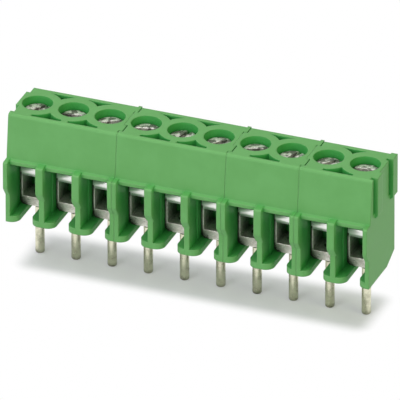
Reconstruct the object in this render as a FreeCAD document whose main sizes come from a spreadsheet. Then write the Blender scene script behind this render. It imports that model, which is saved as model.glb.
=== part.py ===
import FreeCAD, Part
import Sketcher
import os

# Printed-circuit-board screw terminal, ten ways on a 3.5 mm pitch.
# Origin on the board's top face, at the middle of the row of solder pins.
# X runs along the row, the wires enter from -Y, and Z points away from the board.

os.makedirs("parts", exist_ok=True)
doc = FreeCAD.newDocument("screw_terminal")

# Ways in each moulded block, from left to right
BLOCKS = (3, 3, 2, 2)

# Turn of each screw's slot, in degrees from the row
SLOT_TURNS = (62, 8, 35, 15, 80, 50, 25, 70, 55, 5)

SIZES = {
    "pitch": 3.5,
    "seam_gap": 0.05,
    # Upper block
    "body_height": 10.65,
    "screw_row": 0.4,
    "deck_front": 2.8,
    "deck_back": 2.78,
    "wall_lean": 0.47,
    "block_foot": 6.75,
    "back_lean": 0.1,
    "back_raise": 0.86,
    "underside": 0.6,
    "edge_round": 0.3,
    # Lip over the wire entries, and the fins between them
    "lip_reach": 0.3,
    "lip_drop": 0.18,
    "lip_thickness": 0.12,
    "fin_thickness": 0.5,
    "cheek_thickness": 0.4,
    "nose_reach": 0.61,
    "nose_thickness": 0.7,
    "nose_shoulder": 6.85,
    "nose_top": 6.42,
    "nose_bottom": 3.4,
    "nose_round": 0.55,
    "nose_crown": 0.2,
    # Feet
    "foot_thickness": 0.6,
    "foot_gap": 1.2,
    "foot_round": 0.85,
    # Wire entry and clamp chamber
    "entry_depth": 1.87,
    "chamber_back": 1.45,
    "chamber_play": 0.05,
    # Screw wells and the pockets between them
    "well_bore": 2.8,
    "well_floor": 6.7,
    "shank_bore": 2.0,
    "well_wall": 0.8,
    "rim_front": 0.34,
    "rim_back": 0.63,
    "web_width": 0.62,
    "pocket_depth": 2.6,
    # Hooks that join the blocks
    "hook_reach": 0.3,
    "hook_height": 4.1,
    "hook_lead": 0.25,
    "front_hook": 0.62,
    "front_hook_thickness": 1.15,
    "rear_hook_thickness": 1.11,
    "relief_depth": 0.3,
    "relief_width": 0.36,
    "relief_height": 3.6,
    "hook_play": 0.05,
    # Clamp frame
    "frame_width": 2.7,
    "frame_reach": 1.0,
    "frame_depth": 2.4,
    "frame_height": 4.4,
    "frame_side": 0.24,
    "frame_floor": 0.88,
    "frame_top": 0.88,
    "frame_bevel": 0.3,
    "thread_play": 0.05,
    # Wire guard
    "guard_thickness": 0.28,
    "guard_flange": 0.74,
    "guard_width": 2.34,
    "guard_play": 0.05,
    # Clamp screw
    "screw_diameter": 1.6,
    "head_diameter": 2.6,
    "head_height": 1.2,
    "head_depth": 0.85,
    "slot_width": 0.45,
    "slot_depth": 0.6,
    "tip_taper": 0.3,
    # Solder pin
    "pin_diameter": 0.86,
    "pin_root": 1.04,
    "pin_length": 4.8,
    "pin_chamfer": 0.2,
}

sheet = doc.addObject("Spreadsheet::Sheet", "Sizes")
for row, (alias, size) in enumerate(SIZES.items(), start=1):
    sheet.set(f"A{row}", alias)
    sheet.set(f"B{row}", str(size))
    sheet.setAlias(f"B{row}", alias)
scratch = doc.addObject("Spreadsheet::Sheet", "Scratch")
worked_out = {}
doc.recompute()


def cells(formula):
    """A formula with each size's name turned into its cell's address in the sheet."""
    words = formula.replace("(", "( ").replace(")", " )").split()
    return " ".join(f"Sizes.{word}" if word in SIZES else word for word in words)


def number(formula):
    """What a formula comes to with the sheet's present sizes."""
    if formula not in worked_out:
        scratch.set("A1", f"={cells(formula)}")
        scratch.recompute()
        value = scratch.get("A1")
        worked_out[formula] = float(getattr(value, "Value", value))
    return worked_out[formula]


def bind(thing, prop, formula):
    """Tie a property of an object to a formula of the sheet's sizes."""
    thing.setExpression(prop, cells(formula))


def new_body(label):
    """An empty body with its own label."""
    body = doc.addObject("PartDesign::Body", label)
    body.Label = label
    return body


def origin_feature(body, role):
    """One of a body's own origin planes or axes."""
    return next(item for item in body.Origin.OriginFeatures if item.Role == role)


def new_sketch(body, name, role, lift=None):
    """A sketch on one of the body's origin planes, moved along its normal by a formula."""
    sketch = body.newObject("Sketcher::SketchObject", name)
    sketch.AttachmentSupport = [(origin_feature(body, role), "")]
    sketch.MapMode = "FlatFace"
    if lift:
        bind(sketch, "AttachmentOffset.Base.z", lift)
    return sketch


def pin_point(sketch, geometry, end, spot):
    """Hold one point of a sketch at a pair of formulas."""
    for kind, formula in zip(("DistanceX", "DistanceY"), spot):
        index = sketch.addConstraint(Sketcher.Constraint(kind, -1, 1, geometry, end, number(formula)))
        bind(sketch, f"Constraints[{index}]", formula)


def polygon(sketch, corners):
    """A closed outline of straight lines through corners that are pairs of formulas."""
    spots = [FreeCAD.Vector(number(x), number(y), 0) for x, y in corners]
    first = sketch.GeometryCount
    count = len(spots)
    for index in range(count):
        sketch.addGeometry(Part.LineSegment(spots[index], spots[(index + 1) % count]))
    for index in range(count):
        following = first + (index + 1) % count
        sketch.addConstraint(Sketcher.Constraint("Coincident", first + index, 2, following, 1))
        pin_point(sketch, first + index, 1, corners[index])


def rectangle(sketch, low_x, low_y, high_x, high_y):
    """A rectangle between two corners."""
    polygon(sketch, [(low_x, low_y), (high_x, low_y), (high_x, high_y), (low_x, high_y)])


def circle(sketch, centre, diameter):
    """A circle with a centre and a diameter that are formulas."""
    middle = FreeCAD.Vector(number(centre[0]), number(centre[1]), 0)
    index = sketch.addGeometry(Part.Circle(middle, FreeCAD.Vector(0, 0, 1), number(diameter) / 2))
    pin_point(sketch, index, 3, centre)
    size = sketch.addConstraint(Sketcher.Constraint("Diameter", index, number(diameter)))
    bind(sketch, f"Constraints[{size}]", diameter)


def add_feature(body, kind, name, sketch, length=None, reverse=False):
    """A pad, pocket or revolution of a sketch, and a check that it changed the body."""
    before = body.Shape.Volume if body.Tip else 0.0
    feature = body.newObject(kind, name)
    feature.Profile = sketch
    if length:
        bind(feature, "Length", length)
    if reverse:
        feature.Reversed = True
    doc.recompute()
    after = body.Shape.Volume
    if abs(after - before) < 1e-6:
        raise RuntimeError(f"{body.Label}: {name} changed nothing")
    return feature


def revolve(body, name, sketch):
    """Turn a half outline once round the sketch's upright axis."""
    feature = body.newObject("PartDesign::Revolution", name)
    feature.Profile = sketch
    feature.ReferenceAxis = (sketch, ["V_Axis"])
    feature.Angle = 360
    doc.recompute()
    return feature


def repeat(body, name, feature, count):
    """Repeat a feature along the row, one pitch apart."""
    if count < 2:
        return
    pattern = body.newObject("PartDesign::LinearPattern", name)
    pattern.Originals = [feature]
    pattern.Direction = (origin_feature(body, "X_Axis"), [""])
    bind(pattern, "Length", f"pitch * {count - 1}")
    pattern.Occurrences = count
    body.Tip = pattern
    doc.recompute()


def round_edges(body, name, radius, chosen):
    """Fillet the edges of the body's present shape for which the test holds."""
    base = body.Tip
    names = [f"Edge{i}" for i, edge in enumerate(base.Shape.Edges, start=1) if chosen(edge)]
    if not names:
        raise RuntimeError(f"{body.Label}: {name} found no edge")
    fillet = body.newObject("PartDesign::Fillet", name)
    fillet.Base = (base, names)
    bind(fillet, "Radius", radius)
    doc.recompute()
    return fillet


def bevel_edges(body, name, size, chosen):
    """Chamfer the edges of the body's present shape for which the test holds."""
    base = body.Tip
    names = [f"Edge{i}" for i, edge in enumerate(base.Shape.Edges, start=1) if chosen(edge)]
    if not names:
        raise RuntimeError(f"{body.Label}: {name} found no edge")
    bevel = body.newObject("PartDesign::Chamfer", name)
    bevel.Base = (base, names)
    bind(bevel, "Size", size)
    doc.recompute()
    return bevel


def near(value, formula, slack=1e-4):
    """Whether a coordinate equals a formula."""
    return abs(value - number(formula)) < slack


def runs_along(edge, axis):
    """Whether an edge is a straight line along an axis, given as 0, 1 or 2."""
    if not isinstance(edge.Curve, (Part.Line, Part.LineSegment)):
        return False
    step = edge.Vertexes[-1].Point - edge.Vertexes[0].Point
    return all(abs(step[other]) < 1e-6 for other in range(3) if other != axis)


# Heights and places that several pieces share, as formulas
FRONT_TOP = "( - screw_row - deck_front )"
BACK_TOP = "( deck_back - screw_row )"
WALL_FOOT = f"( {FRONT_TOP} - wall_lean )"
LIP = f"( {WALL_FOOT} - lip_reach )"
NOSE = f"( {LIP} - nose_reach )"
LIP_TOP = "( block_foot - lip_drop )"
LIP_BOTTOM = "( block_foot - lip_drop - lip_thickness )"
CHAMBER_WIDTH = "( frame_width + chamber_play * 2 )"
ENTRY_WIDTH = "( pitch - fin_thickness )"
FRAME_TOP = "( foot_thickness + frame_height )"
CHAMBER_TOP = "( foot_thickness + frame_height + chamber_play )"
FRAME_FRONT = "( - screw_row - frame_reach )"
GUARD_TOP = "( foot_thickness + frame_height - frame_top - guard_play )"
HEAD_TOP = "( body_height - head_depth )"


def block_outline(body, ways):
    """The block's side outline without its noses, run along the row."""
    sketch = new_sketch(body, "SideOutline", "YZ_Plane", "seam_gap / 2")
    polygon(sketch, [
        (FRONT_TOP, "body_height"),
        (WALL_FOOT, "block_foot"),
        (LIP, LIP_TOP),
        (LIP, "0"),
        ("underside", "0"),
        (f"{BACK_TOP} + back_lean", "back_raise"),
        (BACK_TOP, "body_height"),
    ])
    add_feature(body, "PartDesign::Pad", "Block", sketch, f"pitch * {ways} - seam_gap")


def wire_entries(body, ways):
    """The opening before each clamp: a wide mouth, then the clamp's chamber."""
    stages = (
        ("Mouth", ENTRY_WIDTH, LIP_BOTTOM, "entry_depth"),
        ("Chamber", CHAMBER_WIDTH, CHAMBER_TOP, f"chamber_back - {LIP}"),
    )
    for name, width, top, depth in stages:
        sketch = new_sketch(body, f"{name}Outline", "XZ_Plane", f"- {LIP}")
        rectangle(sketch, f"pitch / 2 - {width} / 2", "foot_thickness", f"pitch / 2 + {width} / 2", top)
        feature = add_feature(body, "PartDesign::Pocket", name, sketch, depth)
        repeat(body, f"{name}Row", feature, ways)


def nose_outline(body, name, start):
    """The side outline of a fin's nose, which stands out before the lip."""
    inside = f"( {LIP} + lip_reach + wall_lean / 2 )"
    sketch = new_sketch(body, name, "YZ_Plane", start)
    polygon(sketch, [
        (inside, "nose_shoulder"),
        (NOSE, "nose_top"),
        (NOSE, "nose_bottom"),
        (LIP, "nose_bottom - nose_reach"),
        (LIP, LIP_BOTTOM),
        (inside, LIP_BOTTOM),
    ])
    return sketch


def fins(body, ways):
    """The noses of the fins between the entries, and a thicker cheek at each end of the block."""
    if ways > 1:
        middle = nose_outline(body, "NoseOutline", "pitch - nose_thickness / 2")
        feature = add_feature(body, "PartDesign::Pad", "Nose", middle, "nose_thickness")
        repeat(body, "NoseRow", feature, ways - 1)
    for name, start in (("Left", "seam_gap / 2"),
                        ("Right", f"pitch * {ways} - seam_gap / 2 - cheek_thickness")):
        nose = nose_outline(body, f"{name}NoseOutline", start)
        add_feature(body, "PartDesign::Pad", f"{name}Nose", nose, "cheek_thickness")
        cheek = new_sketch(body, f"{name}CheekOutline", "YZ_Plane", start)
        rectangle(cheek, LIP, "foot_thickness / 2", f"{LIP} + entry_depth", LIP_BOTTOM)
        add_feature(body, "PartDesign::Pad", f"{name}Cheek", cheek, "cheek_thickness")

    for name, height, radius in (("NoseRounds", "nose_bottom", "nose_round"),
                                 ("NoseCrowns", "nose_top", "nose_crown")):
        def nose_edge(edge, height=height):
            """The noses' front corner at this height."""
            spot = edge.CenterOfMass
            return runs_along(edge, 0) and near(spot.y, NOSE) and near(spot.z, height)

        round_edges(body, name, radius, nose_edge)


def foot_slots(body, ways):
    """The slot between two feet that each solder pin slides in through, with rounded mouths."""
    sketch = new_sketch(body, "FootSlotOutline", "XY_Plane", "foot_thickness")
    rectangle(sketch, "pitch / 2 - foot_gap / 2", LIP, "pitch / 2 + foot_gap / 2",
              "pin_root / 2 + chamber_play")
    feature = add_feature(body, "PartDesign::Pocket", "FootSlot", sketch, "foot_thickness")
    repeat(body, "FootSlotRow", feature, ways)

    def foot_corner(edge):
        """The upright corner of a foot at a slot's mouth."""
        if not runs_along(edge, 2):
            return False
        spot = edge.CenterOfMass
        side = abs((spot.x / number("pitch")) % 1 - 0.5) * number("pitch")
        return near(spot.y, LIP) and near(side, "foot_gap / 2") and spot.z < number("foot_thickness")

    round_edges(body, "FootMouths", "foot_round", foot_corner)


def screw_wells(body, ways):
    """A well for each screw's head, and a narrower bore below it."""
    for name, bore, depth in (("Well", "well_bore", "body_height - well_floor"),
                              ("ShankBore", "shank_bore", f"body_height - {CHAMBER_TOP}")):
        sketch = new_sketch(body, f"{name}Outline", "XY_Plane", "body_height")
        circle(sketch, ("pitch / 2", "- screw_row"), bore)
        feature = add_feature(body, "PartDesign::Pocket", name, sketch, depth)
        repeat(body, f"{name}Row", feature, ways)


def rim_pockets(body, ways):
    """A trough between the front and rear walls, with a collar and a web left at each well."""
    front = f"( {FRONT_TOP} + rim_front )"
    back = f"( {BACK_TOP} - rim_back )"
    trough = new_sketch(body, "TroughOutline", "XY_Plane", "body_height")
    rectangle(trough, "pitch / 2", front, f"pitch * {ways} - pitch / 2", back)
    add_feature(body, "PartDesign::Pocket", "Trough", trough, "pocket_depth")
    collar = new_sketch(body, "CollarOutline", "XY_Plane", "body_height")
    circle(collar, ("pitch / 2", "- screw_row"), "well_bore + well_wall * 2")
    feature = add_feature(body, "PartDesign::Pad", "Collar", collar, "pocket_depth", reverse=True)
    repeat(body, "CollarRow", feature, ways)
    web = new_sketch(body, "WebOutline", "XY_Plane", "body_height")
    rectangle(web, "pitch / 2 - web_width / 2", front, "pitch / 2 + web_width / 2", "- screw_row")
    feature = add_feature(body, "PartDesign::Pad", "Web", web, "pocket_depth", reverse=True)
    repeat(body, "WebRow", feature, ways)
    trim = new_sketch(body, "CollarTrimOutline", "XY_Plane", "body_height")
    for start, end in (("- pitch", "seam_gap / 2"),
                       (f"pitch * {ways} - seam_gap / 2", f"pitch * {ways} + pitch")):
        rectangle(trim, start, front, end, back)
    add_feature(body, "PartDesign::Pocket", "CollarTrim", trim, "pocket_depth")


def end_joints(body, ways):
    """Two hooks on the right end and two grooves on the left end, open at the top."""
    right = f"( pitch * {ways} - seam_gap / 2 )"
    left = "seam_gap / 2"
    relief = new_sketch(body, "HookReliefOutline", "XY_Plane", "body_height")
    groove = new_sketch(body, "HookGrooveOutline", "XY_Plane", "body_height")
    hook = new_sketch(body, "HookOutline", "XY_Plane", "body_height")
    hooks = (
        (f"{FRONT_TOP} + front_hook", f"{FRONT_TOP} + front_hook + front_hook_thickness", "hook_play"),
        (f"{BACK_TOP} - rear_hook_thickness", BACK_TOP, "back_lean"),
    )
    for start, end, beyond in hooks:
        rectangle(relief, f"{right} - relief_depth", f"{start} - relief_width",
                  f"{right} + seam_gap", start)
        rectangle(groove, "0", f"{start} - hook_play",
                  f"{left} + hook_reach + hook_play", f"{end} + {beyond}")
        rectangle(hook, f"{right} - relief_depth", start, f"{right} + hook_reach", end)
    add_feature(body, "PartDesign::Pocket", "HookRelief", relief, "relief_height")
    add_feature(body, "PartDesign::Pocket", "HookGroove", groove, "hook_height + hook_play")
    add_feature(body, "PartDesign::Pad", "Hooks", hook, "hook_height", reverse=True)

    def hook_end(edge):
        """The outer edge of a hook's lower end."""
        spot = edge.CenterOfMass
        return (runs_along(edge, 1) and near(spot.x, f"{right} + hook_reach")
                and near(spot.z, "body_height - hook_height"))

    bevel_edges(body, "HookLeads", "hook_lead", hook_end)


def housing(label, first_way, ways):
    """One moulded block of the housing."""
    body = new_body(label)
    block_outline(body, ways)

    def long_edge(edge):
        """The front and rear rim."""
        return runs_along(edge, 0) and near(edge.CenterOfMass.z, "body_height")

    round_edges(body, "LongEdges", "edge_round", long_edge)
    wire_entries(body, ways)
    fins(body, ways)
    foot_slots(body, ways)
    rim_pockets(body, ways)
    screw_wells(body, ways)
    end_joints(body, ways)
    bind(body, "Placement.Base.x", f"pitch * ( {first_way} - {sum(BLOCKS)} / 2 )")
    return body


def clamp_frame(label):
    """A folded metal frame with a threaded top and a hole for the pin in its floor."""
    body = new_body(label)
    half = "frame_width / 2"
    sketch = new_sketch(body, "LoopOutline", "XZ_Plane", f"- {FRAME_FRONT}")
    rectangle(sketch, f"- {half}", "foot_thickness", half, FRAME_TOP)
    rectangle(sketch, f"frame_side - {half}", "foot_thickness + frame_floor",
              f"{half} - frame_side", f"{FRAME_TOP} - frame_top")
    add_feature(body, "PartDesign::Pad", "Loop", sketch, "frame_depth", reverse=True)

    def outer_corner(edge):
        """The frame's outer corners."""
        return runs_along(edge, 1) and near(abs(edge.CenterOfMass.x), half)

    bevel_edges(body, "OuterBends", "frame_bevel", outer_corner)
    bore = new_sketch(body, "ThreadOutline", "XY_Plane", FRAME_TOP)
    circle(bore, ("0", "- screw_row"), "screw_diameter + thread_play * 2")
    add_feature(body, "PartDesign::Pocket", "Thread", bore, "frame_top")
    seat = new_sketch(body, "PinSeatOutline", "XY_Plane", "foot_thickness + frame_floor")
    circle(seat, ("0", "0"), "pin_root")
    add_feature(body, "PartDesign::Pocket", "PinSeat", seat, "frame_floor")
    return body


def wire_guard(label):
    """The springy leaf between the screw's tip and the wire, bent up before and behind the frame."""
    body = new_body(label)
    inner = "( frame_width / 2 - frame_side - guard_play )"
    sketch = new_sketch(body, "LeafOutline", "YZ_Plane", f"- {inner}")
    under = f"( {GUARD_TOP} - guard_thickness )"
    front = f"( {FRAME_FRONT} - guard_play )"
    rear = f"( {FRAME_FRONT} + frame_depth + guard_play )"
    polygon(sketch, [
        (f"{front} - guard_thickness", under),
        (f"{rear} + guard_thickness", under),
        (f"{rear} + guard_thickness", f"{under} + guard_flange"),
        (rear, f"{under} + guard_flange"),
        (rear, GUARD_TOP),
        (front, GUARD_TOP),
        (front, f"{under} + guard_flange"),
        (f"{front} - guard_thickness", f"{under} + guard_flange"),
    ])
    add_feature(body, "PartDesign::Pad", "Leaf", sketch, f"{inner} * 2")
    wide = new_sketch(body, "FlangeOutline", "XZ_Plane", f"- {front}")
    rectangle(wide, "- guard_width / 2", f"{under} + guard_thickness",
              "guard_width / 2", f"{under} + guard_flange")
    add_feature(body, "PartDesign::Pad", "Flange", wide, "guard_thickness")
    return body


def clamp_screw(label):
    """A slotted screw with a cylindrical head and a blunt tip, standing on the leaf."""
    body = new_body(label)
    sketch = new_sketch(body, "HalfOutline", "XZ_Plane")
    tip = GUARD_TOP
    polygon(sketch, [
        ("0", tip),
        ("screw_diameter / 2 - tip_taper", tip),
        ("screw_diameter / 2", f"{tip} + tip_taper"),
        ("screw_diameter / 2", f"{HEAD_TOP} - head_height"),
        ("head_diameter / 2", f"{HEAD_TOP} - head_height"),
        ("head_diameter / 2", HEAD_TOP),
        ("0", HEAD_TOP),
    ])
    revolve(body, "Turned", sketch)
    slot = new_sketch(body, "SlotOutline", "XY_Plane", HEAD_TOP)
    rectangle(slot, "- head_diameter", "- slot_width / 2", "head_diameter", "slot_width / 2")
    add_feature(body, "PartDesign::Pocket", "Slot", slot, "slot_depth")
    return body


def solder_pin(label):
    """A round pin with a bevelled end and a thicker root, which is riveted into the frame's floor."""
    body = new_body(label)
    sketch = new_sketch(body, "HalfOutline", "XZ_Plane")
    polygon(sketch, [
        ("0", "- pin_length"),
        ("pin_diameter / 2 - pin_chamfer", "- pin_length"),
        ("pin_diameter / 2", "pin_chamfer - pin_length"),
        ("pin_diameter / 2", "0"),
        ("pin_root / 2", "0"),
        ("pin_root / 2", "foot_thickness + frame_floor"),
        ("0", "foot_thickness + frame_floor"),
    ])
    revolve(body, "Turned", sketch)
    return body


bodies = []
first = 0
for index, ways in enumerate(BLOCKS, start=1):
    bodies.append(housing(f"housing_block_{index}", first, ways))
    first += ways

for way, turn in enumerate(SLOT_TURNS, start=1):
    place = f"pitch * ( {way} - ( {sum(BLOCKS)} + 1 ) / 2 )"
    pieces = [
        clamp_frame(f"clamp_frame_{way:02d}"),
        wire_guard(f"wire_guard_{way:02d}"),
        solder_pin(f"solder_pin_{way:02d}"),
    ]
    screw = clamp_screw(f"clamp_screw_{way:02d}")
    screw.Placement.Rotation = FreeCAD.Rotation(FreeCAD.Vector(0, 0, 1), turn)
    bind(screw, "Placement.Base.y", "- screw_row")
    pieces.append(screw)
    for piece in pieces:
        bind(piece, "Placement.Base.x", place)
    bodies.extend(pieces)

doc.removeObject(scratch.Name)
doc.recompute()

for thing in doc.Objects:
    if "Invalid" in thing.State or "Error" in thing.State:
        raise RuntimeError(f"{thing.Label} did not compute: {thing.State}")
for body in bodies:
    if body.Shape.isNull() or not body.Shape.isValid():
        raise RuntimeError(f"{body.Label} has no valid shape")
for body in bodies:
    body.Shape.exportStep(f"parts/{body.Label}.step")
print(len(bodies), "pieces written")
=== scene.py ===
"""Looks of a ten-way printed-circuit-board screw terminal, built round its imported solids."""
from __future__ import annotations

import logging
import math
from dataclasses import dataclass
from typing import Iterable, Mapping, NamedTuple, Sequence, Union

import bmesh
import bpy
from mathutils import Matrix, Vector


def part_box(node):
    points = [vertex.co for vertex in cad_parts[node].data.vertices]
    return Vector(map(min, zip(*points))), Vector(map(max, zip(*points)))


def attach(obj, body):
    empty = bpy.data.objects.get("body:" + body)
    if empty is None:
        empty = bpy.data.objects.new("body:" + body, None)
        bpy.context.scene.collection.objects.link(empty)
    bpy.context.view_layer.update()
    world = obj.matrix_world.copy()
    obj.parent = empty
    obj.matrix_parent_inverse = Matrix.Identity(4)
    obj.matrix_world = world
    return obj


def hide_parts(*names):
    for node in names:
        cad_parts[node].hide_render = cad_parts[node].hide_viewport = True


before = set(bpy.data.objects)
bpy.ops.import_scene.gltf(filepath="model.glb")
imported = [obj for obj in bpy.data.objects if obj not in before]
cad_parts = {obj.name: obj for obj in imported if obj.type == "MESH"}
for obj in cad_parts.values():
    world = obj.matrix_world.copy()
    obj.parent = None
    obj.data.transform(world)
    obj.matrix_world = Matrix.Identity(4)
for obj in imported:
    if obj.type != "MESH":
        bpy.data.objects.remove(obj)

MM = 0.001
log = logging.getLogger("screw_terminal")

Colour = tuple[float, float, float]
Triple = tuple[float, float, float]
Band = tuple[float, float]
Number = Union["Signal", float]
Input = Union["Signal", float, Sequence[float]]
Key = Union[int, str]

WHITE: Colour = (1.0, 1.0, 1.0)
UNSTRETCHED: Triple = (1.0, 1.0, 1.0)


class Signal:
    """One output socket of a shader tree, on which plain arithmetic adds Math nodes."""

    def __init__(self, tree: ShaderTree, socket: bpy.types.NodeSocket) -> None:
        """Wrap a socket of a tree."""
        self.tree = tree
        self.socket = socket

    def _maths(self, operation: str, first: Number, second: Number = 0.0) -> Signal:
        """Add one Math node and return its result."""
        return self.tree.node("ShaderNodeMath", {"operation": operation}, {0: first, 1: second})

    def __add__(self, other: Number) -> Signal:
        """Sum of two values."""
        return self._maths("ADD", self, other)

    def __radd__(self, other: Number) -> Signal:
        """Sum of two values."""
        return self._maths("ADD", other, self)

    def __sub__(self, other: Number) -> Signal:
        """Difference of two values."""
        return self._maths("SUBTRACT", self, other)

    def __rsub__(self, other: Number) -> Signal:
        """Difference of two values."""
        return self._maths("SUBTRACT", other, self)

    def __mul__(self, other: Number) -> Signal:
        """Product of two values."""
        return self._maths("MULTIPLY", self, other)

    def __rmul__(self, other: Number) -> Signal:
        """Product of two values."""
        return self._maths("MULTIPLY", other, self)

    def __pow__(self, other: Number) -> Signal:
        """One value raised to another."""
        return self._maths("POWER", self, other)

    def __rpow__(self, other: Number) -> Signal:
        """One value raised to another."""
        return self._maths("POWER", other, self)

    def size(self) -> Signal:
        """The value without its sign."""
        return self._maths("ABSOLUTE", self)

    def at_least(self, least: float) -> Signal:
        """The value, or a least value where it's below that."""
        return self._maths("MAXIMUM", self, least)

    def centred(self) -> Signal:
        """A value between 0 and 1, less its middle."""
        return self - 0.5

    def limited(self) -> Signal:
        """The value held between 0 and 1."""
        return self.tree.node("ShaderNodeClamp", {}, {0: self})

    def ramp(self, low: float, high: float, to_low: float = 0.0, to_high: float = 1.0) -> Signal:
        """A smooth step of the value from one range to another.

        Args:
            low: Value at which the step begins.
            high: Value at which the step ends.
            to_low: Result at and below the beginning.
            to_high: Result at and above the end.

        Returns:
            The stepped value.
        """
        return self.tree.node("ShaderNodeMapRange", {"interpolation_type": "SMOOTHSTEP"},
                              {0: self, 1: low, 2: high, 3: to_low, 4: to_high})

    def also(self, output: Key) -> Signal:
        """Another output of the same node."""
        return Signal(self.tree, self.socket.node.outputs[output])


@dataclass(frozen=True)
class Grain:
    """Soft random clouds: how many to a metre, their octaves, and a stretch for each axis."""

    scale: float
    detail: float
    roughness: float = 0.55
    stretch: Triple = UNSTRETCHED


class ShaderTree:
    """The node tree of one material or of the world, with one way to add a node."""

    def __init__(self, owner: Union[bpy.types.Material, bpy.types.World]) -> None:
        """Empty the owner's tree and keep it."""
        owner.use_nodes = True
        self.tree = owner.node_tree
        self.tree.nodes.clear()

    def node(self, kind: str, settings: Mapping[str, object], inputs: Mapping[Key, Input],
             output: Key = 0) -> Signal:
        """Add a node.

        Args:
            kind: The node's type.
            settings: Its settings, such as a Math node's operation.
            inputs: Values or links of its sockets, by place or name.
            output: The socket that is wanted from it.

        Returns:
            The wanted output.
        """
        made = self.tree.nodes.new(kind)
        for name, value in settings.items():
            setattr(made, name, value)
        for key, value in inputs.items():
            self._feed(made.inputs[key], value)
        return Signal(self, made.outputs[output])

    def _feed(self, socket: bpy.types.NodeSocket, value: Input) -> None:
        """Link a signal to a socket, or set the socket's own value."""
        if isinstance(value, Signal):
            self.tree.links.new(value.socket, socket)
        elif isinstance(value, (float, int)):
            socket.default_value = value
        else:
            socket.default_value = (*value, 1.0)[:len(socket.default_value)]

    def place(self, stretch: Triple = UNSTRETCHED) -> Signal:
        """The piece's own coordinates, multiplied by a factor for each axis."""
        here = self.node("ShaderNodeTexCoord", {}, {}, "Object")
        return self.node("ShaderNodeVectorMath", {"operation": "MULTIPLY"}, {0: here, 1: stretch})

    def split(self, vector: Signal) -> tuple[Signal, Signal, Signal]:
        """The three parts of a vector."""
        x = self.node("ShaderNodeSeparateXYZ", {}, {0: vector})
        return x, x.also(1), x.also(2)

    def noise(self, grain: Grain) -> Signal:
        """A grain's clouds, between 0 and 1."""
        return self.node("ShaderNodeTexNoise", {}, {
            "Vector": self.place(grain.stretch), "Scale": grain.scale,
            "Detail": grain.detail, "Roughness": grain.roughness,
        })

    def mix(self, share: Number, first: Input, second: Input) -> Signal:
        """Blend two colours.

        Args:
            share: Share of the second colour.
            first: Colour where the share is 0.
            second: Colour where the share is 1.

        Returns:
            The blended colour.
        """
        return self.node("ShaderNodeMix", {"data_type": "RGBA"}, {0: share, 6: first, 7: second}, 2)

    def edges(self, radius: float) -> tuple[Signal, Signal]:
        """Normals that are rounded over edges, and how far they turn from the true ones.

        Args:
            radius: Radius of the rounding in metres.

        Returns:
            The rounded normal, and a mask that is 0 on flat faces and grows on edges.
        """
        rounded = self.node("ShaderNodeBevel", {"samples": 6}, {"Radius": radius})
        true = self.node("ShaderNodeNewGeometry", {}, {}, "Normal")
        alike = self.node("ShaderNodeVectorMath", {"operation": "DOT_PRODUCT"},
                          {0: rounded, 1: true}, "Value")
        return rounded, (1.0 - alike).limited()

    def hidden(self, reach: float, band: Band) -> Signal:
        """How hidden a place is.

        Args:
            reach: How far in metres a neighbouring wall still counts.
            band: Openness at which a place is wholly hidden, and at which it is wholly free.

        Returns:
            0 on free faces, up to 1 deep in a corner or a well.
        """
        openness = self.node("ShaderNodeAmbientOcclusion", {"samples": 8},
                             {"Distance": reach}, "AO")
        return 1.0 - openness.ramp(*band)

    def bump(self, height: Signal, strength: float, distance: float, normal: Signal) -> Signal:
        """A bumped normal.

        Args:
            height: Height between 0 and 1.
            strength: Share of the effect.
            distance: Height in metres that 1 stands for.
            normal: Normal to start from.

        Returns:
            The bumped normal.
        """
        return self.node("ShaderNodeBump", {}, {
            "Height": height, "Strength": strength, "Distance": distance, "Normal": normal,
        })

    def ray_kinds(self) -> tuple[Signal, Signal]:
        """Two masks of rays.

        Returns:
            Rays of the camera, and rays of the camera, of mirrors and of glass.
        """
        camera = self.node("ShaderNodeLightPath", {}, {}, "Is Camera Ray")
        mirror, glass = camera.also("Is Glossy Ray"), camera.also("Is Transmission Ray")
        return camera, (camera + mirror + glass).limited()

    def finish(self, surface: Signal, target: str = "ShaderNodeOutputMaterial") -> None:
        """Add the tree's output and send a shader to it."""
        made = self.tree.nodes.new(target)
        self.tree.links.new(surface.socket, made.inputs["Surface"])


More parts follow.
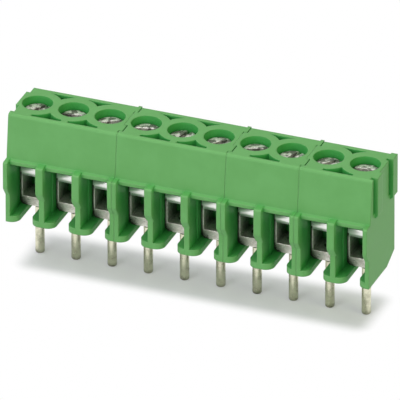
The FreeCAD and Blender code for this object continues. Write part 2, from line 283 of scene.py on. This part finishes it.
@dataclass(frozen=True)
class MouldedPlastic:
    """Satin green polyamide: fine eroded grain, cloudy pigment, painted highlights on edges and
    painted shade in recesses.
    """

    name: str = "moulded_green_polyamide"
    colour: Colour = (0.113, 0.331, 0.098)
    cloud: Colour = (0.124, 0.352, 0.110)
    # colour of the painted highlight on open edges
    edge: Colour = (0.210, 0.470, 0.185)
    recess_shade: Colour = (0.032, 0.355, 0.062)
    clouds: Grain = Grain(420.0, 4.0)
    cloud_band: Band = (0.35, 0.7)
    streaks: Grain = Grain(1500.0, 3.0, stretch=(1.0, 1.0, 0.22))
    streak_band: Band = (0.45, 0.75)
    streak_share: float = 0.25
    recess_reach: float = 3.5 * MM
    recess_band: Band = (0.30, 0.88)
    recess_share: float = 0.85
    edge_radius: float = 0.17 * MM
    edge_gain: float = 2.2
    edge_share: float = 0.65
    fine_grain: Grain = Grain(9000.0, 2.0)
    fine_share: float = 0.7
    coarse_grain: Grain = Grain(2600.0, 2.0)
    coarse_share: float = 0.3
    grain_height: float = 0.004 * MM
    grain_strength: float = 0.6
    roughness: float = 0.46
    cloud_roughness: float = 0.16
    grain_roughness: float = 0.12
    refraction: float = 1.5
    shine: float = 0.25

    def material(self) -> bpy.types.Material:
        """Build the material."""
        made = bpy.data.materials.new(self.name)
        tree = ShaderTree(made)
        clouds, streaks = tree.noise(self.clouds), tree.noise(self.streaks)
        rounded, edge = tree.edges(self.edge_radius)
        hidden = tree.hidden(self.recess_reach, self.recess_band)
        colour = tree.mix(clouds.ramp(*self.cloud_band), self.colour, self.cloud)
        streaked = streaks.ramp(*self.streak_band) * self.streak_share
        colour = tree.mix(streaked, colour, self.cloud)
        # painted shade: places hidden in wells and corners turn darker and greener, standing in for
        # shade and green bounced light
        colour = tree.mix(hidden * self.recess_share, colour, self.recess_shade)
        # painted highlight: open edges turn paler green, as if lit
        edge_highlight = (edge * self.edge_gain).limited() * (1.0 - hidden) * self.edge_share
        colour = tree.mix(edge_highlight, colour, self.edge)
        grain = (tree.noise(self.fine_grain) * self.fine_share
                 + tree.noise(self.coarse_grain) * self.coarse_share)
        rough = (self.roughness + clouds.centred() * self.cloud_roughness
                 + grain.centred() * self.grain_roughness)
        tree.finish(tree.node("ShaderNodeBsdfPrincipled", {}, {
            "Base Color": colour, "Roughness": rough,
            "IOR": self.refraction, "Specular IOR Level": self.shine,
            "Normal": tree.bump(grain, self.grain_strength, self.grain_height, rounded),
        }))
        return made


@dataclass(frozen=True)
class PlatedMetal:
    """Tin or nickel plate with marks along one axis, dull clouds and painted highlights on edges.

    It can have painted shade within a folded piece, and painted shade below a height. The default
    height is far below the part, so that no place has the low shade.
    """

    name: str
    colour: Colour
    dull: Colour
    roughness: float
    marks: Grain
    mark_height: float = 0.002 * MM
    mark_strength: float = 0.6
    mark_share: float = 0.3
    mark_roughness: float = 0.2
    metallic: float = 1.0
    clouds: Grain = Grain(1500.0, 4.0, 0.6)
    cloud_band: Band = (0.42, 0.68)
    cloudiness: float = 0.8
    dull_middle: float = 0.4
    dull_roughness: float = 0.18
    edge_radius: float = 0.05 * MM
    edge_gain: float = 1.5
    edge_share: float = 0.4
    inside_shade: Colour = (0.020, 0.034, 0.016)
    inside_reach: float = 2.4 * MM
    inside_band: Band = (0.34, 0.66)
    inside_share: float = 0.0
    low_shade: Colour = (0.16, 0.16, 0.13)
    low_shade_below: float = -1.0
    low_shade_fade: float = 0.5 * MM
    low_shade_least: float = 0.55
    low_shade_on_dull: float = 0.4

    def material(self) -> bpy.types.Material:
        """Build the material."""
        made = bpy.data.materials.new(self.name)
        tree = ShaderTree(made)
        clouds, marks = tree.noise(self.clouds), tree.noise(self.marks)
        rounded, edge = tree.edges(self.edge_radius)
        cloudy = clouds.ramp(*self.cloud_band) * self.cloudiness
        dullness = (cloudy + marks.centred() * self.mark_share).limited()
        colour = tree.mix(dullness, self.colour, self.dull)
        # painted highlight: edges turn back to the bright plate colour, as if lit
        edge_highlight = (edge * self.edge_gain).limited() * self.edge_share
        colour = tree.mix(edge_highlight, colour, self.colour)
        # painted shade: places hidden within a fold turn nearly black
        hidden = tree.hidden(self.inside_reach, self.inside_band)
        colour = tree.mix(hidden * self.inside_share, colour, self.inside_shade)
        # painted shade: the plate turns darker below a height, standing in for the shaded floor
        # that the pins' ends reflect
        colour = tree.mix(self._low_shaded(tree, dullness), colour, self.low_shade)
        rough = (self.roughness + (dullness - self.dull_middle) * self.dull_roughness
                 + marks.centred() * self.mark_roughness)
        tree.finish(tree.node("ShaderNodeBsdfPrincipled", {}, {
            "Base Color": colour, "Metallic": self.metallic, "Roughness": rough,
            "Normal": tree.bump(marks, self.mark_strength, self.mark_height, rounded),
        }))
        return made

    def _low_shaded(self, tree: ShaderTree, dullness: Signal) -> Signal:
        """Share of the painted low shade: full below its height, and stronger where the plate is
        dull.

        Args:
            tree: The material's tree.
            dullness: How dull the plate is.

        Returns:
            The share.
        """
        _, _, height = tree.split(tree.place())
        top = self.low_shade_below + self.low_shade_fade
        cut_end = height.ramp(self.low_shade_below, top, 1.0, 0.0)
        return cut_end * (self.low_shade_least + dullness * self.low_shade_on_dull)


@dataclass(frozen=True)
class TurnedMetal:
    """A turned and plated screw: dents, dull patches, scratches, painted highlights on edges, dirt
    and painted shade in slot and thread.
    """

    name: str = "turned_plated_screw"
    colour: Colour = (0.84, 0.80, 0.76)
    shade: Colour = (0.11, 0.10, 0.09)
    grime_and_shade: Colour = (0.050, 0.050, 0.040)
    patches: Grain = Grain(1700.0, 2.0, 0.4)
    patch_band: Band = (0.45, 0.56)
    patch_share: float = 0.85
    scratches: Grain = Grain(11000.0, 3.0, 0.7, (1.0, 0.25, 0.6))
    scratch_share: float = 0.5
    scratch_roughness: float = 0.3
    scratch_height: float = 0.2
    dents: Grain = Grain(3600.0, 2.0, 0.5)
    dent_height: float = 0.8
    relief: float = 0.13 * MM
    relief_strength: float = 0.8
    grime_reach: float = 0.45 * MM
    grime_band: Band = (0.25, 0.85)
    grime_share: float = 0.8
    grime_roughness: float = 0.25
    edge_radius: float = 0.03 * MM
    edge_gain: float = 2.0
    edge_share: float = 0.6
    metallic: float = 0.5
    roughness: float = 0.26

    def material(self) -> bpy.types.Material:
        """Build the material."""
        made = bpy.data.materials.new(self.name)
        tree = ShaderTree(made)
        scratches, dents = tree.noise(self.scratches), tree.noise(self.dents)
        hidden = tree.hidden(self.grime_reach, self.grime_band)
        rounded, edge = tree.edges(self.edge_radius)
        patchy = tree.noise(self.patches).ramp(*self.patch_band) * self.patch_share
        dull = (patchy + scratches.centred() * self.scratch_share).limited()
        colour = tree.mix(dull, self.colour, self.shade)
        # painted highlight: edges turn back to the bright colour, as if lit
        edge_highlight = (edge * self.edge_gain).limited() * self.edge_share
        colour = tree.mix(edge_highlight, colour, self.colour)
        # dirt and painted shade: slot and thread turn dark where they are hidden
        colour = tree.mix(hidden * self.grime_share, colour, self.grime_and_shade)
        rough = (self.roughness + scratches.centred() * self.scratch_roughness
                 + hidden * self.grime_roughness)
        height = dents * self.dent_height + scratches * self.scratch_height
        tree.finish(tree.node("ShaderNodeBsdfPrincipled", {}, {
            "Base Color": colour, "Metallic": self.metallic, "Roughness": rough,
            "Normal": tree.bump(height, self.relief_strength, self.relief, rounded),
        }))
        return made


class Finishes:
    """The part's materials, each made once."""

    def __init__(self) -> None:
        """Make every material of the part."""
        self.plastic = MouldedPlastic().material()
        self.frame = PlatedMetal(
            name="dull_tin_plate", colour=(0.98, 0.93, 0.86), dull=(0.68, 0.62, 0.55),
            roughness=0.36, marks=Grain(9000.0, 3.0, 0.6, (0.25, 1.0, 1.0)),
            # the frame is given painted shade within its fold
            metallic=0.5, clouds=Grain(3200.0, 4.0, 0.6), inside_share=0.97,
        ).material()
        self.guard = PlatedMetal(
            name="bright_nickel_spring", colour=(1.0, 1.0, 0.97), dull=(0.97, 0.96, 0.92),
            roughness=0.38, marks=Grain(9000.0, 3.0, 0.6, (0.12, 1.0, 1.0)),
            metallic=0.8, cloudiness=0.35,
        ).material()
        self.pin = PlatedMetal(
            name="satin_tinned_wire", colour=(0.76, 0.75, 0.57), dull=(0.46, 0.46, 0.34),
            roughness=0.25, marks=Grain(9000.0, 3.0, 0.6, (1.0, 1.0, 0.1)),
            # the pins' ends get the painted low shade
            mark_height=0.003 * MM, low_shade_below=-4.75 * MM,
        ).material()
        self.screw = TurnedMetal().material()


def link(name: str, mesh: bpy.types.Mesh) -> bpy.types.Object:
    """Put a mesh into the scene as a piece."""
    piece = bpy.data.objects.new(name, mesh)
    bpy.context.scene.collection.objects.link(piece)
    return piece


def give(piece: bpy.types.Object, material: bpy.types.Material) -> None:
    """Make a material the only one of a piece."""
    piece.data.materials.clear()
    piece.data.materials.append(material)


@dataclass
class HousingRow:
    """The four moulded blocks that hook into one row.

    Against their solids, the ledge over the wire entries is lower, the seams between the blocks
    are tighter, and the reliefs beside the hooks are nearly filled.
    """

    blocks: int = 4
    same_plane: float = 0.001 * MM
    brow_front: float = -3.3 * MM
    nose_front: float = -4.2 * MM
    brow_low: float = 5.4 * MM
    brow_high: float = 7.0 * MM
    nose_drop: float = 0.14 * MM
    chin_front: float = -3.98 * MM
    chin_low: float = 3.0 * MM
    chin_high: float = 4.5 * MM
    chin_rise: float = 0.2 * MM
    ledge_drops: tuple[Band, ...] = (
        (6.50 * MM, 0.54 * MM), (6.65 * MM, 0.32 * MM),
        (6.80 * MM, 0.38 * MM), (7.00 * MM, 0.32 * MM),
    )
    hook_reach: float = 0.3 * MM
    seam_closing: float = 0.018 * MM
    relief_depth: float = 0.3 * MM
    relief_closing: float = 0.27 * MM

    def build(self, finishes: Finishes) -> None:
        """Mould each block and let it stand for its solid."""
        for index in range(1, self.blocks + 1):
            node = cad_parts[f"housing_block_{index}"]
            low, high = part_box(node.name)
            mesh = node.data.copy()
            self._lower_brow(mesh)
            if index > 1:
                self._shift_face(mesh, low[0], -self.seam_closing)
            if index < self.blocks:
                end = high[0] - self.hook_reach
                self._shift_face(mesh, end, self.seam_closing)
                self._shift_face(mesh, end - self.relief_depth, self.relief_closing)
            block = link(f"moulded_block_{index}", mesh)
            give(block, finishes.plastic)
            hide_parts(node.name)
            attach(block, "housing")
            log.info("%s built with %d faces", block.name, len(block.data.polygons))

    def _lower_brow(self, mesh: bpy.types.Mesh) -> None:
        """Lower the ledge over the wire entries and the fins' noses, and raise the chins."""
        for vertex in mesh.vertices:
            spot = vertex.co
            if spot.y < self.brow_front and self.brow_low < spot.z < self.brow_high:
                spot.z -= self._drop(spot)
            elif spot.y < self.chin_front and self.chin_low < spot.z < self.chin_high:
                spot.z += self.chin_rise

    def _drop(self, spot: Vector) -> float:
        """How far a point of the noses or of the ledge comes down."""
        if spot.y < self.nose_front:
            return self.nose_drop
        return next(drop for below, drop in self.ledge_drops if spot.z < below)

    def _shift_face(self, mesh: bpy.types.Mesh, plane: float, shift: float) -> None:
        """Move a face that is square to the row.

        Args:
            mesh: The block.
            plane: The face's place along X.
            shift: How far it moves along X.
        """
        for vertex in mesh.vertices:
            if abs(vertex.co.x - plane) < self.same_plane:
                vertex.co.x += shift


@dataclass
class ClampRow:
    """The ten folded frames and their wire guards, which keep their solids' shape."""

    ways: int = 10
    seam_gap: float = 0.001 * MM
    edge_width: float = 0.04 * MM
    edge_faces: int = 2
    edge_turn: float = math.radians(30.0)
    face_weight: int = 100

    def dress(self, finishes: Finishes) -> None:
        """Give each metal piece its plating and broken edges."""
        for way in range(1, self.ways + 1):
            for kind, material in (("clamp_frame", finishes.frame), ("wire_guard", finishes.guard)):
                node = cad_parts[f"{kind}_{way:02d}"]
                give(node, material)
                self._break_edges(node)
                log.info("%s dressed in %s", node.name, material.name)

    def _break_edges(self, node: bpy.types.Object) -> None:
        """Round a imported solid's edges with modifiers, which leave its own mesh as it is."""
        joined = node.modifiers.new("joined_seams", "WELD")
        joined.merge_threshold = self.seam_gap
        rounded = node.modifiers.new("broken_edges", "BEVEL")
        rounded.width, rounded.segments = self.edge_width, self.edge_faces
        rounded.limit_method, rounded.angle_limit = "ANGLE", self.edge_turn
        rounded.use_clamp_overlap = False
        even = node.modifiers.new("even_shading", "WEIGHTED_NORMAL")
        even.weight = self.face_weight


class Ring(NamedTuple):
    """One ring of a turned piece: its height, its radius, and how deep a thread bites there."""

    height: float
    radius: float
    bite: float = 0.0


@dataclass(frozen=True)
class Lathe:
    """Turns closed pieces round an upright axis."""

    sides: int
    thread_lead: float = 0.4 * MM
    smooth_below: float = math.radians(40.0)

    def turn(self, name: str, middle: Vector, rings: Sequence[Ring]) -> bpy.types.Object:
        """Turn a closed piece.

        Args:
            name: Name of the piece.
            middle: A point on its axis, at height 0.
            rings: Its rings from bottom to top.

        Returns:
            The piece, linked into the scene.
        """
        shape = bmesh.new()
        rows = [[shape.verts.new(middle + self._spot(ring, side)) for side in range(self.sides)]
                for ring in rings]
        for lower, upper in zip(rows, rows[1:]):
            for side, after in self._pairs():
                shape.faces.new((lower[side], lower[after], upper[after], upper[side]))
        foot = shape.verts.new(middle + Vector((0.0, 0.0, rings[0].height)))
        crown = shape.verts.new(middle + Vector((0.0, 0.0, rings[-1].height)))
        for side, after in self._pairs():
            shape.faces.new((foot, rows[0][after], rows[0][side]))
            shape.faces.new((crown, rows[-1][side], rows[-1][after]))
        mesh = bpy.data.meshes.new(name)
        shape.to_mesh(mesh)
        shape.free()
        mesh.shade_smooth()
        mesh.set_sharp_from_angle(angle=self.smooth_below)
        return link(name, mesh)

    def _pairs(self) -> list[tuple[int, int]]:
        """Each side's number with that of the side after it."""
        return [(side, (side + 1) % self.sides) for side in range(self.sides)]

    def _spot(self, ring: Ring, side: int) -> Vector:
        """A ring's corner, cut back by the thread's triangular groove.

        Args:
            ring: The ring.
            side: The corner's number.

        Returns:
            The corner, seen from the axis.
        """
        angle = 2.0 * math.pi * side / self.sides
        phase = (ring.height / self.thread_lead - side / self.sides) % 1.0
        reach = ring.radius - ring.bite * (1.0 - abs(2.0 * phase - 1.0))
        return Vector((reach * math.cos(angle), reach * math.sin(angle), ring.height))


def axis_point(low: Vector, high: Vector) -> Vector:
    """The middle of a box, seen from above, at height 0."""
    return Vector(((low[0] + high[0]) / 2, (low[1] + high[1]) / 2, 0.0))


@dataclass
class PinRow:
    """The ten solder pins, round, with a rounded end and a thin neck up in the frame."""

    ways: int = 10
    lathe: Lathe = Lathe(sides=40)
    end_round: float = 0.2 * MM
    end_steps: int = 5
    neck_radius: float = 0.20 * MM
    neck_from: float = 0.03 * MM
    shaft_radius: float = 0.43 * MM

    def build(self, finishes: Finishes) -> None:
        """Turn each pin and let it stand for its solid."""
        for way in range(1, self.ways + 1):
            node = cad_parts[f"solder_pin_{way:02d}"]
            low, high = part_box(node.name)
            rings = self._rings(low[2], high[2])
            pin = self.lathe.turn(f"tinned_pin_{way:02d}", axis_point(low, high), rings)
            give(pin, finishes.pin)
            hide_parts(node.name)
            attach(pin, "housing")
            log.info("%s built with %d faces", pin.name, len(pin.data.polygons))

    def _rings(self, bottom: float, top: float) -> list[Ring]:
        """Rings from the rounded end up to the neck's top.

        Args:
            bottom: Height of the pin's end.
            top: Height of the neck's top.

        Returns:
            The rings.
        """
        rings = []
        for step in range(self.end_steps + 1):
            turn = math.pi / 2 * step / self.end_steps
            rings.append(Ring(bottom + self.end_round * (1.0 - math.cos(turn)),
                              self.shaft_radius - self.end_round * (1.0 - math.sin(turn))))
        return rings + [Ring(-self.neck_from, self.shaft_radius),
                        Ring(self.neck_from, self.neck_radius), Ring(top, self.neck_radius)]


@dataclass
class ScrewRow:
    """The ten slotted clamp screws, each turned with a thread, a broken rim and a sawn slot."""

    ways: int = 10
    lathe: Lathe = Lathe(sides=48)
    head_height: float = 1.2 * MM
    head_rise: float = 0.22 * MM
    rim_break: float = 0.14 * MM
    head_crown: float = 0.05 * MM
    crown_steps: Band = (0.66, 0.33)
    shank_radius: float = 0.8 * MM
    thread_depth: float = 0.13 * MM
    rows_a_turn: int = 6
    tip_taper: float = 0.3 * MM
    slot_width: float = 0.45 * MM
    slot_depth: float = 0.6 * MM
    slot_edge: float = 0.03 * MM
    slot_edge_faces: int = 2
    slot_edge_turn: float = math.radians(60.0)
    floor_search: float = 0.01 * MM

    def build(self, finishes: Finishes) -> None:
        """Turn each screw, cut its slot and let it stand for its solid."""
        for way in range(1, self.ways + 1):
            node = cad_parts[f"clamp_screw_{way:02d}"]
            low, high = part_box(node.name)
            middle = axis_point(low, high)
            turn = self._slot_turn(node, middle, high[2] - self.slot_depth)
            top = high[2] + self.head_rise
            rings = self._rings(low[2], top, (high[0] - low[0]) / 2)
            screw = self.lathe.turn(f"slotted_screw_{way:02d}", middle, rings)
            self._saw(screw, self._blade(middle, top, turn))
            give(screw, finishes.screw)
            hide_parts(node.name)
            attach(screw, f"screw_{way:02d}")
            log.info("%s built with %d faces", screw.name, len(screw.data.polygons))

    def _slot_turn(self, node: bpy.types.Object, middle: Vector, floor: float) -> float:
        """The direction in which a solid's slot lies.

        Args:
            node: The solid.
            middle: A point on its axis.
            floor: Height of the slot's floor.

        Returns:
            The slot's angle from X in radians.
        """
        near = [vertex.co - middle for vertex in node.data.vertices
                if abs(vertex.co.z - floor) < self.floor_search]
        across = sum(spot.x * spot.y for spot in near)
        along = sum(spot.x ** 2 - spot.y ** 2 for spot in near)
        return 0.5 * math.atan2(2.0 * across, along)

    def _rings(self, bottom: float, top: float, radius: float) -> list[Ring]:
        """Rings of a screw, from its tip to its crown.

        Args:
            bottom: Height of the tip.
            top: Height of the crown.
            radius: Radius of the head.

        Returns:
            The rings.
        """
        under = top - self.head_height
        threaded = under - bottom - self.tip_taper
        count = round(threaded / self.lathe.thread_lead * self.rows_a_turn)
        step = threaded / count
        rings = [Ring(bottom, self.shank_radius - self.tip_taper)]
        for index in range(count + 1):
            fade = min(1.0, index / self.rows_a_turn, (count - index) / self.rows_a_turn)
            rings.append(Ring(bottom + self.tip_taper + step * index, self.shank_radius,
                              self.thread_depth * fade))
        rings += [
            Ring(under, radius - self.rim_break / 2),
            Ring(under + self.rim_break / 2, radius),
            Ring(top - self.head_crown - self.rim_break, radius),
            Ring(top - self.head_crown, radius - self.rim_break),
        ]
        return rings + [Ring(top - self.head_crown * share ** 2, radius * share)
                        for share in self.crown_steps]

    def _blade(self, middle: Vector, top: float, turn: float) -> bpy.types.Object:
        """A box as wide and deep as the slot, which lies across the head and stands out of it.

        Args:
            middle: A point on the screw's axis.
            top: Height of the crown.
            turn: The slot's angle from X in radians.

        Returns:
            The box, linked into the scene.
        """
        along = Vector((math.cos(turn), math.sin(turn), 0.0)) * self.head_height * 2.0
        aside = Vector((-math.sin(turn), math.cos(turn), 0.0)) * self.slot_width / 2
        base = Vector((middle.x, middle.y, top - self.slot_depth))
        rise = Vector((0.0, 0.0, self.slot_depth * 2.0))
        foot = [base - along - aside, base + along - aside,
                base + along + aside, base - along + aside]
        walls = [(i, (i + 1) % 4, 4 + (i + 1) % 4, 4 + i) for i in range(4)]
        mesh = bpy.data.meshes.new("saw_blade")
        mesh.from_pydata(foot + [spot + rise for spot in foot], [],
                         [(3, 2, 1, 0), (4, 5, 6, 7), *walls])
        return link("saw_blade", mesh)

    def _saw(self, screw: bpy.types.Object, blade: bpy.types.Object) -> None:
        """Cut the slot across a screw's head and break its edges.

        Args:
            screw: The piece to cut.
            blade: The box that cuts it, which is removed.
        """
        cut = screw.modifiers.new("slot", "BOOLEAN")
        cut.operation, cut.solver, cut.object = "DIFFERENCE", "EXACT", blade
        broken = screw.modifiers.new("broken_edges", "BEVEL")
        broken.width, broken.segments = self.slot_edge, self.slot_edge_faces
        broken.limit_method, broken.angle_limit = "ANGLE", self.slot_edge_turn
        graph = bpy.context.evaluated_depsgraph_get()
        finished = bpy.data.meshes.new_from_object(screw.evaluated_get(graph))
        screw.modifiers.clear()
        screw.data = finished
        bpy.data.objects.remove(blade)


@dataclass(frozen=True)
class Lamp:
    """One soft round lamp, aimed at the part."""

    name: str
    place: Triple
    size: float
    watts: float
    colour: Colour = WHITE


@dataclass
class Studio:
    """A floor, a room and soft lamps round the part.

    The floor is plain cloth in a soft-edged strip under the part, which takes its shadow. Beyond
    the strip it is pure white to the camera, to mirrors and to glass.
    """

    floor_level: float = -4.8 * MM
    floor_radius: float = 1.5
    floor_sides: int = 64
    shade_length: float = 15.6 * MM
    shade_width: float = 2.3 * MM
    shade_middle: float = 0.1 * MM
    shade_fade: float = 2.0 * MM
    shade_lift: float = 0.22
    cloth: Colour = (0.70, 0.70, 0.75)
    room: float = 0.66
    dim_side: Triple = (0.85, 0.53, 0.0)
    dim_band: Band = (-0.3, 0.8)
    dim_level: float = 0.35
    dim_colour: Colour = (0.94, 1.0, 0.55)
    tint_band: Band = (0.0, 0.9)
    lamps: tuple[Lamp, ...] = (
        Lamp("overhead", (-0.10, -0.05, 0.60), 0.50, 1.9),
        Lamp("front_fill", (-0.25, -0.60, 0.25), 0.45, 1.6),
        Lamp("right_fill", (0.60, -0.15, 0.25), 0.40, 1.2, (0.90, 1.0, 0.50)),
    )

    def build(self) -> None:
        """Make the floor, the room's light and the lamps."""
        self._floor()
        self._room()
        for lamp in self.lamps:
            self._lamp(lamp)

    def _floor(self) -> None:
        """Lay the round floor."""
        turns = [2 * math.pi * side / self.floor_sides for side in range(self.floor_sides)]
        rim = [(self.floor_radius * math.cos(turn), self.floor_radius * math.sin(turn),
                self.floor_level) for turn in turns]
        mesh = bpy.data.meshes.new("floor")
        mesh.from_pydata(rim, [], [tuple(range(self.floor_sides))])
        floor = link("floor", mesh)
        give(floor, self._floor_material())

    def _floor_material(self) -> bpy.types.Material:
        """Cloth under the part, white further out."""
        made = bpy.data.materials.new("white_floor")
        tree = ShaderTree(made)
        x, y, _ = tree.split(tree.place())
        aside = (x.size() - self.shade_length).at_least(0.0)
        ahead = ((y - self.shade_middle).size() - self.shade_width).at_least(0.0)
        clear = ((aside ** 2.0 + ahead ** 2.0) ** 0.5).ramp(0.0, self.shade_fade)
        camera, seen = tree.ray_kinds()
        cloth = tree.node("ShaderNodeBsdfDiffuse", {}, {"Color": self.cloth})
        white = tree.node("ShaderNodeEmission", {}, {"Color": WHITE, "Strength": 1.0})
        lift = camera * (1.0 - clear) * self.shade_lift
        tree.finish(tree.node("ShaderNodeMixShader", {},
                              {0: clear * seen + lift, 1: cloth, 2: white}))
        return made

    def _room(self) -> None:
        """Light the part evenly, but less from the right and behind, in a room seen as white."""
        world = bpy.data.worlds.new("room")
        bpy.context.scene.world = world
        tree = ShaderTree(world)
        camera, seen = tree.ray_kinds()
        facing = tree.node("ShaderNodeTexCoord", {}, {}, "Generated")
        side = tree.node("ShaderNodeVectorMath", {"operation": "DOT_PRODUCT"},
                         {0: facing, 1: self.dim_side}, "Value")
        dimmed = camera + (1.0 - camera) * side.ramp(*self.dim_band, 1.0, self.dim_level)
        tint = tree.mix(side.ramp(*self.tint_band), WHITE, self.dim_colour)
        light = tree.node("ShaderNodeBackground", {},
                          {"Color": tint, "Strength": dimmed * self.room})
        white = tree.node("ShaderNodeBackground", {}, {"Color": WHITE, "Strength": dimmed})
        tree.finish(tree.node("ShaderNodeMixShader", {}, {0: seen, 1: light, 2: white}),
                    "ShaderNodeOutputWorld")

    @staticmethod
    def _lamp(lamp: Lamp) -> None:
        """Place one lamp, which the camera doesn't see."""
        data = bpy.data.lights.new(lamp.name, "AREA")
        data.shape, data.size = "DISK", lamp.size
        data.energy, data.color = lamp.watts, lamp.colour
        made = bpy.data.objects.new(lamp.name, data)
        made.location = lamp.place
        made.rotation_mode = "QUATERNION"
        made.rotation_quaternion = (-Vector(lamp.place)).to_track_quat("-Z", "Y")
        made.visible_camera = False
        bpy.context.scene.collection.objects.link(made)


@dataclass
class Viewpoint:
    """A long lens that looks down on the wire entries from the front right, angles in degrees."""

    azimuth: float = 21.30
    elevation: float = 28.69
    distance: float = 1494.2 * MM
    aim: Triple = (0.0, -0.8 * MM, 5.0 * MM)
    right_shift: float = -0.05 * MM
    up_shift: float = 0.84 * MM
    sensor_mm: float = 36.0
    focal_mm: float = 1500.0
    nearest: float = 0.1
    furthest: float = 20.0

    def build(self) -> None:
        """Make the camera and make it the scene's own."""
        turn, rise = math.radians(self.azimuth), math.radians(self.elevation)
        ahead = Vector((-math.sin(turn) * math.cos(rise), math.cos(turn) * math.cos(rise),
                        -math.sin(rise)))
        right = Vector((math.cos(turn), math.sin(turn), 0.0))
        up = right.cross(ahead)
        data = bpy.data.cameras.new("viewpoint")
        data.sensor_width, data.lens = self.sensor_mm, self.focal_mm
        data.clip_start, data.clip_end = self.nearest, self.furthest
        made = bpy.data.objects.new("viewpoint", data)
        made.location = (Vector(self.aim) - right * self.right_shift - up * self.up_shift
                         - ahead * self.distance)
        made.rotation_mode = "QUATERNION"
        made.rotation_quaternion = ahead.to_track_quat("-Z", "Y")
        bpy.context.scene.collection.objects.link(made)
        bpy.context.scene.camera = made


def main() -> None:
    """Build and dress the part in its studio."""
    logging.basicConfig(level=logging.INFO, format="%(message)s")
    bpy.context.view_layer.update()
    bpy.context.scene.view_settings.view_transform = "Standard"
    Viewpoint().build()
    Studio().build()
    finishes = Finishes()
    HousingRow().build(finishes)
    ClampRow().dress(finishes)
    PinRow().build(finishes)
    ScrewRow().build(finishes)


if __name__ == "__main__":
    main()
